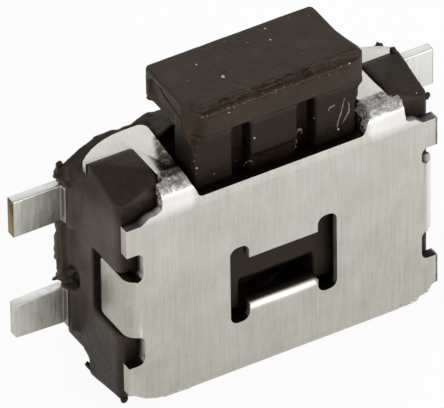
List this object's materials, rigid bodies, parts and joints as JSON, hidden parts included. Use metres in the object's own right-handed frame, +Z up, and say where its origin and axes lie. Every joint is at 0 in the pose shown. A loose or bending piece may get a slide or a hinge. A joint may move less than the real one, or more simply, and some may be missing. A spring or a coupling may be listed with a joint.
{
  "type": "tactile switch",
  "caption": "Side-push surface-mount tactile switch: a black push plate slides down into a moulded housing closed by a folded steel cover with solder terminals.",
  "frame": {"origin": "centre of the underside of the upright switch, in the plane of the lower ends of the corner blocks", "axes": "+X across the width along the terminals, +Y from the cover's front plate to the solder face, +Z up to the push plate's head"},
  "size_m": [0.0064, 0.0016, 0.0045],
  "materials": {
    "moulded_plastic": "matt moulded",
    "stainless_sheet": "rolled, fine grain",
    "button_plastic": "matt moulded",
    "spring_steel": "bright",
    "amber_film": "clear amber film",
    "plated_brass": "silver plated, cut ends bare"
  },
  "bodies": {
    "body": {"housing": "moulded_plastic", "cover": "stainless_sheet", "snap_dome": "spring_steel", "dome_film": "amber_film", "centre_contact": "plated_brass", "outer_contact": "plated_brass"},
    "button": {"push_plate": "button_plastic"}
  },
  "joints": [
    {"name": "button_press", "type": "slide", "parent": "body", "child": "button", "axis": [0, 0, -1], "range_m": [0, 0.0002], "stiffness_N_per_m": 5000, "springref_m": -0.0001}
  ]
}
